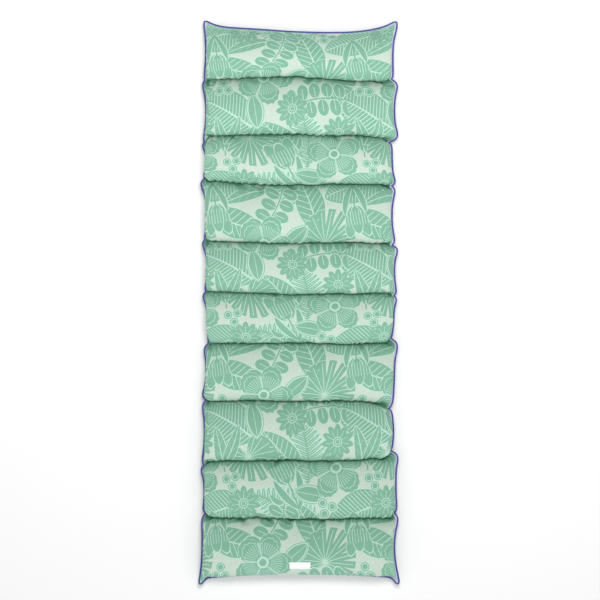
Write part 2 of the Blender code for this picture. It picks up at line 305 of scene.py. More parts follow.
class Cover:
    """The cover's points, ring by ring from head to foot, and what each one is."""

    def __init__(self):
        self.across = column_places()
        lip = np.array([LIP_WIDTH, 0, 0])
        grids = []
        for top, places in ((True, self.across), (False, self.across[::2])):
            grid = sheet_grid(places, top)
            if top:
                grid[:, :, 2] += filling_lumps(places)
            grid = np.concatenate([grid[:, :1] - lip, grid, grid[:, -1:] + lip], axis=1)
            grids.append(grid)
        upper, under = grids
        self.top_width = upper.shape[1]
        self.base_width = under.shape[1]
        last = self.top_width - 1
        self.rim_places = np.concatenate([[0], np.arange(1, last, 2), [last]])
        ends = []
        for row, out in ((0, LIP_WIDTH), (-1, -LIP_WIDTH)):
            middle_top = upper[row].copy()
            middle_top[:, 2] -= LIP_THICKNESS / 2
            lift = np.array([0, out, LIP_THICKNESS / 2])
            lower = middle_top[self.rim_places] + lift - [0, 0, LIP_THICKNESS]
            ends.append((middle_top + lift, lower))
        upper = np.concatenate([ends[0][0][None], upper, ends[1][0][None]])
        under = np.concatenate([ends[0][1][None], under, ends[1][1][None]])
        both = np.concatenate([upper.reshape(-1, 3), under.reshape(-1, 3)])
        middle = (both.min(0) + both.max(0)) / 2
        middle[2] = 0
        self.upper = upper - middle
        self.under = under - middle
        self.rows = len(upper)

    def points(self):
        """All the points: the upper sheet's, then the under one's."""
        return np.concatenate([self.upper.reshape(-1, 3), self.under.reshape(-1, 3)])

    def shared(self, values):
        """Each sheet's grid of points, with its own part of a list that has a row for
        each of the cover's points."""
        count = self.upper.shape[0] * self.upper.shape[1]
        for grid, part in ((self.upper, values[:count]), (self.under, values[count:])):
            yield grid, part.reshape(*grid.shape[:2], -1)

    def faces(self):
        """The faces of both sheets, of the lip's two sides and of its two ends."""
        wide, narrow = self.top_width, self.base_width
        start = self.rows * wide
        faces = []
        for r in range(self.rows - 1):
            for c in range(wide - 1):
                a = r * wide + c
                faces.append((a, a + wide, a + wide + 1, a + 1))
            for c in range(narrow - 1):
                a = start + r * narrow + c
                faces.append((a, a + 1, a + narrow + 1, a + narrow))
            left, right = r * wide, r * wide + wide - 1
            under_left, under_right = start + r * narrow, start + r * narrow + narrow - 1
            faces.append((left, under_left, under_left + narrow, left + wide))
            faces.append((right, right + wide, under_right + narrow, under_right))
        for r in (0, self.rows - 1):
            a, b = r * wide, start + r * narrow
            strips = [((a, a + 1), (b, b + 1))]
            for c in range(1, narrow - 2):
                t = a + 2 * c - 1
                strips.append(((t, t + 1, t + 2), (b + c, b + c + 1)))
            strips.append(((a + wide - 2, a + wide - 1), (b + narrow - 2, b + narrow - 1)))
            for high, low in strips:
                face = high + low[::-1]
                faces.append(face if r == 0 else face[::-1])
        return faces


SETTLE_FRAMES = 14
SETTLE_LIMIT = 7 * MM
KEEP_SWELL = 0.25  # how much of the even swelling is kept under the wrinkles
BLUR_PASSES = 14
SLACK = 0.10  # how much longer than its path the cloth is beside a seam
SLACK_BY_SEAM = 0.16  # how far from a seam it is slack, as a share of a channel's cloth
SLACK_BY_SIDE = 0.08  # and from a side, as a share of the half width
SIDE_SLACK = 0.6
SEWN_WITHIN = 0.004  # what counts as on a seam, as a share of a channel's cloth
RESTS_UNDER = 0.4 * MM  # what counts as flat on the ground
CANVAS = {
    "quality": 5,
    "mass": 0.25,
    "tension_stiffness": 25,
    "compression_stiffness": 12,
    "shear_stiffness": 8,
    "bending_stiffness": 0.12,
    "vertex_group_mass": "held",
    "vertex_group_shrink": "slack",
    "shrink_min": 0.0,
    "shrink_max": -SLACK,
    "use_pressure": True,
    "uniform_pressure_force": 4.0,
}


def settle_weights(cover):
    """How firmly each point is held, and how slack the cloth is there, top then under."""
    _, shares = grid_shares()
    from_seam = np.minimum(shares, 1 - shares)[:, None]
    held, slack = [], []
    for grid, places in ((cover.upper, cover.across), (cover.under, cover.across[::2])):
        side = np.abs(np.concatenate([[-1], places, [1]]))[None, :]
        near_side = np.exp(-(((1 - side) / SLACK_BY_SIDE) ** 2))
        near = np.exp(-((from_seam / SLACK_BY_SEAM) ** 2)) + SIDE_SLACK * near_side
        slack.append(np.clip(near, 0, 1))
        sewn = (from_seam < SEWN_WITHIN) | (side > 0.9999)
        held.append(np.where(sewn | (grid[:, :, 2] < RESTS_UNDER), 1.0, 0.0))
    return [np.concatenate([w.ravel() for w in pair]) for pair in (held, slack)]


def weight_group(piece, name, weights):
    group = piece.vertex_groups.new(name=name)
    for level in np.unique(np.round(weights, 2)):
        found = np.nonzero(np.round(weights, 2) == level)[0]
        group.add(found.tolist(), float(level), "REPLACE")


def smooth_grid(values, passes):
    """A grid of moves with its wrinkles averaged away."""
    for _ in range(passes):
        padded = np.pad(values, ((1, 1), (1, 1), (0, 0)), mode="edge")
        values = (
            padded[:-2, 1:-1] + padded[2:, 1:-1] + padded[1:-1, :-2] + padded[1:-1, 2:]
        ) / 4
    return values


def settle(cover, piece):
    """The cover under its filling's pressure, by cloth simulation. Its seams, lip and the
    flat of its back are held, and it keeps the wrinkles more than the swelling."""
    held, slack = settle_weights(cover)
    weight_group(piece, "held", held)
    weight_group(piece, "slack", slack)
    before = cover.points()
    modifier = piece.modifiers.new("settle", "CLOTH")
    for name, value in CANVAS.items():
        setattr(modifier.settings, name, value)
    modifier.settings.effector_weights.gravity = 0.0
    modifier.collision_settings.use_collision = False
    modifier.point_cache.frame_end = SETTLE_FRAMES
    scene = bpy.context.scene
    for step in range(1, SETTLE_FRAMES + 1):
        scene.frame_set(step)
    evaluated = piece.evaluated_get(bpy.context.evaluated_depsgraph_get())
    after = read(evaluated.data, evaluated.data.vertices, "co")
    piece.modifiers.remove(modifier)
    scene.frame_set(1)

    for grid, move in cover.shared(after - before):
        swell = smooth_grid(move, BLUR_PASSES)
        kept = move - swell + KEEP_SWELL * swell
        length = np.linalg.norm(kept, axis=2, keepdims=True)
        kept *= np.minimum(1, SETTLE_LIMIT / np.maximum(length, 1e-9))
        grid += kept
    for (grid, start), (_, hold) in zip(cover.shared(before), cover.shared(held)):
        still = hold[:, :, 0] > 0.5
        grid[still] = start[still]
        grid[:, :, 2] = np.maximum(grid[:, :, 2], 0)


def mesh_piece(name, points, faces, material):
    """A new smooth-shaded piece of the given points and faces, riding the part's one body."""
    mesh = bpy.data.meshes.new(name)
    mesh.from_pydata([tuple(p) for p in np.asarray(points).tolist()], [], faces)
    mesh.materials.append(material)
    mesh.polygons.foreach_set("use_smooth", [True] * len(mesh.polygons))
    piece = bpy.data.objects.new(name, mesh)
    bpy.context.scene.collection.objects.link(piece)
    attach(piece, "root")
    return piece


def store(mesh, name, values):
    """Keeps three numbers for each point of a mesh."""
    attribute = mesh.attributes.new(name, "FLOAT_VECTOR", "POINT")
    attribute.data.foreach_set("vector", values.ravel())


def read(mesh, source, field):
    """The three numbers that a mesh has for each of its points, such as its place."""
    values = np.empty(len(mesh.vertices) * 3)
    source.foreach_get(field, values)
    return values.reshape(-1, 3)


def cloth_places(cover):
    """For each point of the cover, where it lies in the print and in the sewing.

    The first is its place across and along the print, and how far it is on the lip. The
    second is its place across the sheet and its distance from the sheet's head seam, both
    in metres along the cloth, and 1 on the upper sheet or 0 on the under one."""
    channels, shares = grid_shares()
    along = (channels + shares) * CHANNEL_CLOTH
    along[0] -= LIP_WIDTH
    along[-1] += LIP_WIDTH
    middle_ring = 2 + ROWS_A_CHANNEL // 2 + 4 * ROWS_A_CHANNEL
    printed, sewn = [], []
    for grid, shift, upper in ((cover.upper, 0.0, 1.0), (cover.under, UNDER_SHIFT, 0.0)):
        steps = np.linalg.norm(np.diff(grid[middle_ring], axis=0), axis=1)
        across = np.concatenate([[0], np.cumsum(steps)])
        across = (across - across[-1] / 2)[None, :]
        down = along[:, None]
        lip = np.zeros(grid.shape[:2])
        lip[:, [0, -1]] = 1
        lip[[0, -1], :] = 1
        for found, parts in ((printed, (across, shift - down, lip)), (sewn, (across, down, upper))):
            found.append(np.stack(np.broadcast_arrays(*parts), axis=-1).reshape(-1, 3))
    return np.concatenate(printed), np.concatenate(sewn)


PUCKER_HEIGHT = 2.0 * MM
PUCKER_PITCH = 25 * MM
PUCKER_REACH = 13 * MM
SIDE_PUCKER_HEIGHT = 1.4 * MM
SIDE_PUCKER_REACH = 11 * MM
PUCKER_WARP = 11 * MM

FOLD_DEPTH = 2.6  # how many times deeper the folds are than listed
FOLD_RIDGE = 0.45  # how high the ridge beside a fold is, as a share of its depth
# Creases in the upper cloth: each from one place to another, given in mm across from the
# middle and past a seam, with its depth and half width
FOLDS = (
    # seam, across, past, to across, to past, depth, half width
    (1, -318, 3, -300, 30, 3.4, 6),
    (1, 262, 2, 322, 20, 3.6, 7),
    (1, -150, 6, -128, 34, 2.4, 9),
    (1, 40, 5, 22, 36, 2.2, 9),
    (2, -338, -26, -296, -5, 3.0, 7),
    (2, 300, 14, 338, 10, 3.4, 6),
    (2, -220, 6, -196, 30, 2.4, 9),
    (2, 120, 6, 140, 38, 2.4, 9),
    (3, -334, -16, -290, 6, 3.4, 7),
    (3, 288, 4, 332, 14, 4.0, 7),
    (3, 306, -26, 330, -8, 2.6, 6),
    (3, -190, 5, -165, 34, 3.2, 9),
    (3, -110, 6, -122, 42, 3.0, 10),
    (3, -30, 5, -8, 32, 2.8, 9),
    (4, -330, 4, -304, 20, 3.4, 6),
    (4, 296, -4, 334, -18, 3.0, 7),
    (4, 175, 6, 150, 36, 2.6, 9),
    (5, -318, -3, -336, -24, 2.8, 6),
    (5, 318, 4, 290, 22, 3.0, 6),
    (5, -80, 6, -60, 34, 2.4, 9),
    (5, 70, 6, 86, 40, 2.2, 10),
    (6, -322, 5, -300, 24, 3.0, 6),
    (6, 300, 3, 334, 18, 3.2, 7),
    (6, 205, 6, 190, 38, 2.6, 9),
    (7, 262, 5, 330, 22, 4.0, 7),
    (7, 296, 46, 338, 36, 3.2, 6),
    (7, 312, 30, 338, 12, 2.4, 5),
    (7, -322, 4, -302, 22, 2.8, 6),
    (7, -150, 6, -132, 32, 2.2, 9),
    (8, 276, 4, 330, -18, 4.4, 7),
    (8, -306, 2, -338, -14, 3.4, 7),
    (8, -60, 5, -84, 36, 2.8, 9),
    (8, 96, 6, 112, 34, 2.4, 9),
    (9, -300, 4, -334, 22, 3.8, 7),
    (9, 306, 3, 336, 16, 3.2, 6),
    (9, -190, 6, -158, 36, 3.4, 10),
    (9, -95, 5, -82, 40, 3.2, 9),
    (9, -18, 6, -40, 34, 3.0, 9),
    (9, 84, 6, 70, 30, 2.4, 8),
)


def puckers(across, down, from_side):
    """Small ridges that run out of each seam and in from the lip, where the sewing draws
    the cloth up."""
    seam = np.round(down / CHANNEL_CLOTH)
    past = down - seam * CHANNEL_CLOTH
    line = seam * 3.3 + np.sign(past) * 0.7
    away = np.abs(past) / PUCKER_REACH
    warp = PUCKER_WARP * soft_noise(across / (2.2 * PUCKER_PITCH), line, seed=31)
    turn = math.tau * (across + warp + past * 0.3) / PUCKER_PITCH
    strong = np.clip(0.5 + 0.9 * soft_noise(across / (2.8 * PUCKER_PITCH), line, seed=32), 0, 1.3)
    ridge = np.cos(turn) + 0.35 * np.cos(2 * turn + 1)
    from_seams = PUCKER_HEIGHT * away * np.exp(1 - away) * ridge * strong

    away = np.maximum(0, from_side - LIP_WIDTH) / SIDE_PUCKER_REACH
    warp = PUCKER_WARP * soft_noise(down / (2.2 * PUCKER_PITCH), np.sign(across), seed=33)
    turn = math.tau * (down + warp) / PUCKER_PITCH
    strong = np.clip(0.5 + soft_noise(down / (3 * PUCKER_PITCH), np.sign(across) * 4, seed=34), 0, 1)
    from_sides = SIDE_PUCKER_HEIGHT * away * np.exp(1 - away) * np.cos(turn) * strong
    return from_seams + from_sides


def folds(across, down):
    """The creases of FOLDS, each a trough with a softer ridge beside it."""
    height = np.zeros(len(across))
    for seam, *numbers in FOLDS:
        x0, y0, x1, y1, depth, half_wide = (n * MM for n in numbers)
        run = np.array([x1 - x0, y1 - y0])
        long = np.linalg.norm(run)
        ahead = run / long
        x = across - x0
        y = down - seam * CHANNEL_CLOTH - y0
        share = (x * ahead[0] + y * ahead[1]) / long
        off = (x * ahead[1] - y * ahead[0]) / half_wide
        taper = np.exp(-(((share - 0.45) / 0.5) ** 4))
        trough = np.exp(-(off**2))
        ridge = np.exp(-((off - 1.7) ** 2))
        height += FOLD_DEPTH * depth * taper * (FOLD_RIDGE * ridge - trough)
    return height


def add_relief(mesh):
    """Moves the finer cover's points in or out by its puckers and folds."""
    across, down, upper = read(mesh, mesh.attributes["sewn"].data, "vector").T
    half = np.where(upper > 0.5, across[upper > 0.5].max(), across[upper <= 0.5].max())
    from_side = half - np.abs(across)
    from_end = np.minimum(down, COUNT * CHANNEL_CLOTH - down)
    height = puckers(across, down, from_side) + folds(across, down) * (upper > 0.5)
    height *= np.clip((np.minimum(from_side, from_end) - LIP_WIDTH * 0.8) / LIP_WIDTH, 0, 1)
    points = read(mesh, mesh.vertices, "co")
    points += read(mesh, mesh.vertices, "normal") * height[:, None]
    points[:, 2] = np.maximum(points[:, 2], 0)
    mesh.vertices.foreach_set("co", points.ravel())
    mesh.update()
    return points


def build_cover(cover, material):
    """The cover, settled, drawn one level finer and given its relief. Its grids then hold
    the points as they lie."""
    piece = mesh_piece("cover", cover.points(), cover.faces(), material)
    settle(cover, piece)
    piece.data.vertices.foreach_set("co", cover.points().ravel())
    printed, sewn = cloth_places(cover)
    store(piece.data, "fabric", printed)
    store(piece.data, "sewn", sewn)
    finer = piece.modifiers.new("finer", "SUBSURF")
    finer.levels = 1
    finer.render_levels = 1
    evaluated = piece.evaluated_get(bpy.context.evaluated_depsgraph_get())
    piece.data = bpy.data.meshes.new_from_object(evaluated)
    piece.modifiers.remove(finer)
    points = add_relief(piece.data)
    for grid, place in cover.shared(points[: len(cover.points())]):
        grid[:] = place
    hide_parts("cushion")
    return piece


def rim(cover):
    """The middle line of the lip's outer edge, once round from the head's left corner."""
    picked = cover.rim_places
    head = (cover.upper[0][picked] + cover.under[0]) / 2
    foot = (cover.upper[-1][picked] + cover.under[-1]) / 2
    left = (cover.upper[:, 0] + cover.under[:, 0]) / 2
    right = (cover.upper[:, -1] + cover.under[:, -1]) / 2
    return np.concatenate([head, right[1:-1], foot[::-1], left[-2:0:-1]])


def evenly(line, pitch, closed=True):
    """Points at an even pitch along a line, or round a closed one."""
    if closed:
        line = np.concatenate([line, line[:1]])
    steps = np.linalg.norm(np.diff(line, axis=0), axis=1)
    lengths = np.concatenate([[0], np.cumsum(steps)])
    count = int(round(lengths[-1] / pitch))
    at = np.arange(count) / count * lengths[-1]
    return np.stack([np.interp(at, lengths, line[:, k]) for k in range(3)], axis=1)


def outward(loop, reach):
    """The level direction out of a loop at each point, from neighbours some way off."""
    ahead = np.roll(loop, -reach, axis=0) - np.roll(loop, reach, axis=0)
    out = np.stack([-ahead[:, 1], ahead[:, 0], 0 * ahead[:, 0]], axis=1)
    return out / np.linalg.norm(out, axis=1, keepdims=True)


def tube_faces(rings, sides, closed, start=0):
    """Quads round a tube of rings, each of so many points."""
    faces = []
    for r in range(rings if closed else rings - 1):
        a = start + r * sides
        b = start + (r + 1) % rings * sides
        for s in range(sides):
            t = (s + 1) % sides
            faces.append((a + s, a + t, b + t, b + s))
    return faces


def joined(blocks):
    """Several lots of points and faces as one."""
    points, faces, start = [], [], 0
    for more, of_more in blocks:
        points.append(more)
        faces += [tuple(start + i for i in face) for face in of_more]
        start += len(more)
    return np.concatenate(points), faces


STITCH_PITCH = 1.55 * MM
STITCH_POINTS = 8
THREAD = 0.5 * MM  # half the edging thread's width
WRAP_OUT = 0.9 * MM  # how far the wrapping swells past the edging's own width, each side
CORE_SIDES = 6
UP = np.array([0, 0, 1.0])


def build_edging(cover, core_material, thread_material):
    """The overlocked edge: a core round the lip's rim, wrapped in close turns of thread."""
    line = evenly(rim(cover), STITCH_PITCH / STITCH_POINTS)
    out = outward(line, 6 * STITCH_POINTS)
    middle = line + out * (GAP + EDGING_WIDTH / 2)
    half_wide = EDGING_WIDTH / 2 + WRAP_OUT - THREAD
    half_high = EDGING_THICKNESS / 2 - THREAD

    core = middle[:: 3 * STITCH_POINTS]
    core_out = out[:: 3 * STITCH_POINTS]
    turns = [(math.cos(a), math.sin(a)) for a in np.arange(CORE_SIDES) * math.tau / CORE_SIDES]
    rings = [core + core_out * half_wide * c + UP * half_high * s for c, s in turns]
    points = np.stack(rings, axis=1).reshape(-1, 3)
    faces = tube_faces(len(core), CORE_SIDES, closed=True)
    piece = mesh_piece("edging_core", points, faces, core_material)
    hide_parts("edging")

    turn = (np.arange(len(line)) * math.tau / STITCH_POINTS)[:, None]
    around = out * np.cos(turn) + UP * np.sin(turn)
    centre = middle + out * np.cos(turn) * half_wide + UP * np.sin(turn) * half_high
    ahead = np.cross(out, UP)
    corners = [around, -around / 2 + ahead * 0.87, -around / 2 - ahead * 0.87]
    points = np.stack([centre + corner * THREAD for corner in corners], axis=1).reshape(-1, 3)
    piece = mesh_piece("edging_thread", points, tube_faces(len(line), 3, closed=True), thread_material)


LEG_LENGTH = 5.6 * MM
SHORT_LEG = 2.2 * MM
LEG_THREAD = 0.34 * MM
LEG_SHARES = (-0.06, 0.35, 0.7, 1.0)  # where each leg's rings lie along it
LEG_REST = 0.6  # how high a leg's middle lies over the lip, in half threads
LEG_SUNK = 1.2  # how much lower its inner end lies
LEG_LEAN = 0.35  # how far each leg leans along the edge, in stitches
LONG_FROM = (270 * MM, 25 * MM)  # how far across the legs lengthen, and over how much
HEAD_FROM = (740 * MM, 40 * MM)  # how far up they do so on the left
LONG_LEFT = 0.6


def rise(values, start):
    """From 0 at a place to 1 a little past it."""
    return np.clip((values - start[0]) / start[1], 0, 1)


def long_legs(line):
    """From 0 to 1, where the overlock bites deep enough for its pale legs to show: down
    the right side, round its corners, and beside the first channel on the left."""
    left = rise(-line[:, 0], LONG_FROM) * rise(line[:, 1], HEAD_FROM) * LONG_LEFT
    return np.maximum(rise(line[:, 0], LONG_FROM), left)


def build_legs(cover, material):
    """The pale legs of the overlock stitch, which cross the lip above and below."""
    line = evenly(rim(cover), STITCH_PITCH)
    out = outward(line, 6)
    ahead = np.cross(out, UP)
    lean = np.where(np.arange(len(line)) % 2 == 0, LEG_LEAN, -LEG_LEAN)[:, None] * STITCH_PITCH
    reach = (SHORT_LEG + (LEG_LENGTH - SHORT_LEG) * long_legs(line))[:, None]
    rings_a_leg = len(LEG_SHARES)
    faces = []
    for leg in range(len(line)):
        faces += tube_faces(rings_a_leg, 3, closed=False, start=leg * 3 * rings_a_leg)
    blocks = []
    for side in (1, -1):
        high = UP * side * (LIP_THICKNESS / 2 + LEG_THREAD * LEG_REST)
        rings = []
        for share in LEG_SHARES:
            sunk = UP * side * LEG_THREAD * (LEG_SUNK if share == 1.0 else 0)
            centre = line - out * reach * share + high - sunk + ahead * lean * share
            for turn in (0, math.tau / 3, 2 * math.tau / 3):
                rings.append(centre + (UP * math.cos(turn) + ahead * math.sin(turn)) * LEG_THREAD)
        blocks.append((np.stack(rings, axis=1).reshape(-1, 3), faces))
    piece = mesh_piece("edging_legs", *joined(blocks), material)


def stitch_run(path, up, pitch, gap, radius):
    """Short stitches along a path of points, their ends sunk: their points and faces."""
    centres = evenly(path, pitch, closed=False)
    ahead = np.gradient(centres, axis=0)
    ahead /= np.linalg.norm(ahead, axis=1, keepdims=True)
    side = np.cross(ahead, up)
    half = (pitch - gap) / 2
    rings = []
    for share, thick, lift in STITCH_RINGS:
        middle = centres + ahead * half * share + up * radius * lift
        for across, high in ((1, 0), (0, 1), (-1, 0), (0, -1)):
            rings.append(middle + (side * across + up * high) * radius * thick)
    faces = []
    for a in range(0, 12 * len(centres), 12):
        faces += tube_faces(3, 4, closed=False, start=a)
        faces += [(a + 3, a + 2, a + 1, a), (a + 8, a + 9, a + 10, a + 11)]
    return np.stack(rings, axis=1).reshape(-1, 3), faces


# Each stitch's rings: how far along its half, how thick, and how high, in half threads
STITCH_RINGS = ((-1, 0.5, -0.5), (0, 1.0, 0.55), (1, 0.5, -0.5))
SEAM_SEWING = (4.0 * MM, 0.7 * MM, 0.55 * MM)  # pitch, gap, and half the thread's width


def build_seam_stitches(cover, material):
    """The rows of sewing across the cushion, in the furrows above and below."""
    runs = []
    for seam in range(1, COUNT):
        ring = 1 + seam * ROWS_A_CHANNEL
        for grid, up in ((cover.upper, UP), (cover.under, -UP)):
            runs.append(stitch_run(grid[ring][2:-2], up, *SEAM_SEWING))
    piece = mesh_piece("seam_stitches", *joined(runs), material)


LABEL_CELLS = (46, 16)
LABEL_THICKNESS = 0.7 * MM
LABEL_LIFT = 0.35 * MM
LABEL_BORDER = 2.2 * MM
LABEL_SEWING = (2.6 * MM, 0.6 * MM, 0.28 * MM)  # as SEAM_SEWING
LABEL_STEPS = 24


def patch_faces(wide, long):
    """The faces of a closed patch of so many cells: its upper grid's points, then the
    under one's."""
    row = wide + 1
    count = row * (long + 1)
    faces = []
    for r in range(long):
        for c in range(wide):
            a = r * row + c
            faces.append((a, a + row, a + row + 1, a + 1))
            faces.append((count + a, count + a + 1, count + a + row + 1, count + a + row))
    edge = list(range(wide)) + [r * row + wide for r in range(long)]
    edge += [long * row + wide - c for c in range(wide)] + [(long - r) * row for r in range(long)]
    for a, b in zip(edge, edge[1:] + edge[:1]):
        faces.append((a, b, count + b, count + a))
    return faces


def build_label(tree_of_cover, material, thread):
    """The bare label, laid on the last channel, and the row of stitches round it."""
    low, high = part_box("label")
    middle_x, middle_y = (low[0] + high[0]) / 2, (low[1] + high[1]) / 2
    long_here = high[1] - low[1]
    wide, long = LABEL_CELLS

    def on_cover(x, y, lift):
        aim = Vector((middle_x + x, middle_y + y, 1))
        place, normal, *_ = tree_of_cover.ray_cast(aim, Vector((0, 0, -1)))
        return place + normal * lift

    across = [LABEL_WIDTH * (c / wide - 0.5) for c in range(wide + 1)]
    along = [long_here * (0.5 - r / long) for r in range(long + 1)]
    lifts = (LABEL_LIFT + LABEL_THICKNESS, LABEL_LIFT)
    points = [on_cover(x, y, lift) for lift in lifts for y in along for x in across]
    piece = mesh_piece("label_patch", points, patch_faces(wide, long), material)
    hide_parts("label")

    x, y = LABEL_WIDTH / 2 - LABEL_BORDER, long_here / 2 - LABEL_BORDER
    corners = np.array([(-x, y), (x, y), (x, -y), (-x, -y)])
    runs = []
    for start, end in zip(corners, np.roll(corners, -1, axis=0)):
        steps = [start + (end - start) * s for s in np.linspace(0, 1, LABEL_STEPS)]
        run = np.array([on_cover(*step, LABEL_LIFT + LABEL_THICKNESS) for step in steps])
        runs.append(stitch_run(run, UP, *LABEL_SEWING))
    sewing = mesh_piece("label_stitches", *joined(runs), thread)


def feed(tree, node, inputs):
    """Gives a node's inputs, by name or number, their values or other nodes' outputs."""
    for slot, value in inputs.items():
        if isinstance(value, Field):
            value = value.socket
        if isinstance(value, bpy.types.NodeSocket):
            tree.links.new(value, node.inputs[slot])
        else:
            node.inputs[slot].default_value = value


def add_node(tree, kind, inputs, **settings):
    """A new node with its settings and inputs."""
    node = tree.nodes.new(kind)
    for name, value in settings.items():
        setattr(node, name, value)
    feed(tree, node, inputs)
    return node


class Field:
    """A number that varies over the cloth: the output of a node in one tree. Sums with it
    add Math nodes to the tree; & is both, and | the greater."""

    def __init__(self, tree, socket):
        self.tree = tree
        self.socket = socket

    def op(self, operation, *values):
        inputs = dict(enumerate(values))
        node = add_node(self.tree, "ShaderNodeMath", inputs, operation=operation)
        return Field(self.tree, node.outputs[0])

    def __rsub__(self, other):
        return self.op("SUBTRACT", other, self)

    def root(self):
        return self.op("SQRT", self.floor_at(0.0))

    def to_nearest(self, pitch):
        """The distance to the nearest whole multiple of a pitch."""
        return self.op("PINGPONG", self, pitch / 2)


def sum_of(operation):
    """A method that does one sum, on a Field and whatever else it takes."""
    return lambda self, *others: self.op(operation, self, *others)


FIELD_SUMS = {
    "ADD": ("__add__", "__radd__"),
    "SUBTRACT": ("__sub__",),
    "MULTIPLY": ("__mul__", "__rmul__", "__and__"),
    "DIVIDE": ("__truediv__",),
    "POWER": ("__pow__",),
    "GREATER_THAN": ("__gt__",),
    "LESS_THAN": ("__lt__",),
    "MAXIMUM": ("__or__", "floor_at"),
    "MINIMUM": ("top_at",),
    "ABSOLUTE": ("__abs__",),
    "ARCTAN2": ("angle_from",),
    "SINE": ("sine",),
    "SIGN": ("sign",),
    "FRACT": ("fraction",),
}
for math_operation, methods in FIELD_SUMS.items():
    for method in methods:
        setattr(Field, method, sum_of(math_operation))


def arch(y):
    """Over 0 between the ends of a motif, 1 halfway, and below 0 past them."""
    return y * (1 - y) * 4


def ellipse(x, y, wide, long):
    """Above 0 inside an ellipse, 1 at its middle."""
    a, b = x / wide, y / long
    return 1 - a * a - b * b


def radius(x, y):
    return (x * x + y * y).root()


def blade_half(y, power, width):
    """Half the width of a blade between the ends of a motif, 0 past them."""
    return (arch(y).floor_at(0.0) ** power) * width


MARGIN = 0.018  # the pale line left round a motif, as a share of its size


def plain_leaf(x, y, width=0.24, veins=9, slope=0.75, line=0.008):
    """A leaf from its stalk at 0 to its tip at 1, with a pale midrib and side veins."""
    side = abs(x + y * (y - 1) * 0.12)
    reach = arch(y)
    half = blade_half(y, 0.72, width * 1.2 - y * (width * 0.4))
    depth = half - side - (0 - reach).floor_at(0.0)
    vein = ((y - side * slope) * veins).to_nearest(1.0) / veins < line
    rib = side < 0.016 - y * 0.010
    stalk = (side < 0.014) & (abs(y + 0.05) < 0.06)
    ink = (depth > 0.0) & (1 - (rib | (vein & (depth > 0.018))))
    return (depth > -MARGIN) | stalk, ink | stalk


def hatched_leaf(x, y):
    """A broad leaf closely hatched with veins."""
    return plain_leaf(x, y, width=0.29, veins=19, slope=0.45, line=0.0065)


def slender_leaf(x, y):
    return plain_leaf(x, y, width=0.13, veins=5, slope=1.6, line=0.005)


def outline_leaf(x, y):
    """A leaf drawn with a double line alone."""
    side = abs(x)
    reach = arch(y)
    half = blade_half(y, 0.8, 0.25)
    depth = half - side - (0 - reach).floor_at(0.0)
    ring = (depth > 0.0) & (depth < 0.022)
    heart = depth > 0.06
    ink = (ring | heart) & (side > 0.008)
    return depth > -MARGIN, ink


def fern(x, y, leaflets=15):
    """A fern frond: close, slanting leaflets that shorten to its tip."""
    bent = x - arch(y) * 0.07
    side = abs(bent)
    place = y - side * 0.55
    reach = arch(place * 0.92 + 0.06)
    length = (reach.floor_at(0.001) ** 0.65) * (0.34 - place * 0.20)
    out = side / length
    cell = (place * leaflets).to_nearest(1.0)
    depth = ((1 - out * out).root() * 0.40 - cell) / leaflets
    alive = reach > 0.02
    leaflet = (depth > 0.0) & alive
    stem = (side < 0.010) & (abs(y - 0.5) < 0.56)
    rib = (cell < 0.07) & (out < 0.8)
    ink = (leaflet & (1 - rib)) | stem
    return ((out < 1.06) & alive) | stem, ink


def daisy(x, y, petals=11):
    """A daisy with narrow petals, each with a pale line."""
    r = radius(x, y)
    turn = x.angle_from(y) * (petals / math.tau)
    off = turn.to_nearest(1.0) * (math.tau / petals) * r
    along = (r - 0.63) / 0.38
    depth = (1 - along * along).root() * 0.20 - off
    disc = r < 0.24
    eye = (r < 0.24) & (abs(r - 0.14) > 0.022)
    crease = (off < 0.014) & (r < 0.72)
    petal = (depth > 0.0) & (r > 0.29) & (1 - crease)
    cover = ((depth > -MARGIN) & (r < 1.03)) | (r < 0.31)
    return cover, (petal & (1 - disc)) | eye


def open_flower(x, y, petals=5):
    """A broad five-petalled flower with streaks from its throat."""
    r = radius(x, y)
    turn = x.angle_from(y)
    off = (turn * (petals / math.tau)).to_nearest(1.0)
    edge = 1 - off * off * 1.55 + (turn * 31).sine() * 0.018
    depth = edge - r
    part = (0.5 - off) * (math.tau / petals) * r < 0.016
    streak = ((turn * (45 / math.tau)).to_nearest(1.0) < 0.13) & (abs(r - 0.46) < 0.20)
    inner = abs(r - edge * 0.84) < 0.012
    throat = r < 0.20
    pistil = r < 0.12
    ink = (depth > 0.0) & (1 - (part | streak | throat | inner))
    return depth > -MARGIN, ink | pistil


def split_leaf(x, y, ribs=9):
    """A broad heart-shaped leaf with slots cut in between its ribs."""
    side = abs(x)
    r = radius(x, y)
    turn = side.angle_from(y)
    notch = (turn - 2.35).floor_at(0.0)
    edge = 1.0 - turn * 0.16 - notch * notch * 1.0
    depth = edge - r
    cell = (turn * (ribs / math.pi)).to_nearest(1.0)
    slot = ((0.5 - cell) * (math.pi / ribs) * r < (r - 0.50) * 0.14) & (r > 0.50)
    rib = (cell * (math.pi / ribs) * r < 0.010) & (depth > 0.06)
    ink = (depth > 0.0) & (1 - (slot | rib))
    return (depth > -MARGIN) & (1 - slot), ink


def round_sprig(x, y, pairs=5):
    """A curving twig with round leaves on both sides in turn."""
    bent = x - arch(y) * 0.10
    side = abs(bent)
    place = y * pairs + bent.sign() * 0.25
    along = (place + 0.5).fraction() - 0.5
    alive = abs(y - 0.55) < 0.5
    body = ellipse(side - 0.145, (along / pairs), 0.125, 0.088)
    crease = (abs(along / pairs) < 0.006) & (side < 0.20)
    stem = (side < 0.011) & (abs(y - 0.5) < 0.53)
    ink = ((body > 0.0) & (1 - crease) & alive) | stem
    return ((body > -0.35) & alive) | stem, ink


